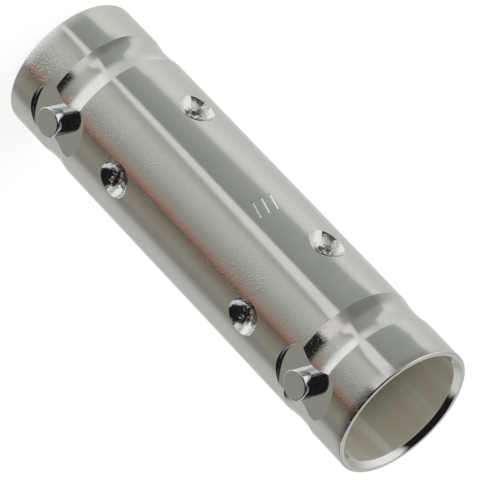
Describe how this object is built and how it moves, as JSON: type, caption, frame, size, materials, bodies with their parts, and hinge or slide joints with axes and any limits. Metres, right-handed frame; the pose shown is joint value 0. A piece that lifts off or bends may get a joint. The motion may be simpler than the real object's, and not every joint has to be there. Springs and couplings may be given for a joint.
{
  "type": "bayonet coaxial coupler",
  "caption": "Straight coaxial coupler: a nickel-plated tube with a female bayonet connector at each end, staked round the middle.",
  "frame": {"origin": "centre of the lower mouth's rim, on the barrel's axis, where the part stands", "axes": "+Z along the barrel's axis to the upper mouth; +X and -X along the bayonet lugs; +Y completes the frame"},
  "size_m": [0.011, 0.0096, 0.0335],
  "materials": {
    "nickel_plate": "nickel plate over turned brass, smooth with a faint satin grain",
    "bushing_plate": "nickel plate over turned brass",
    "insulator_plastic": "waxy white fluoropolymer",
    "contact_gold": "gold plate over copper alloy"
  },
  "bodies": {
    "root": {"shell": "nickel_plate", "bushing_bottom": "bushing_plate", "bushing_top": "bushing_plate", "insulator_bottom": "insulator_plastic", "insulator_top": "insulator_plastic", "centre_contact": "contact_gold"}
  },
  "joints": []
}
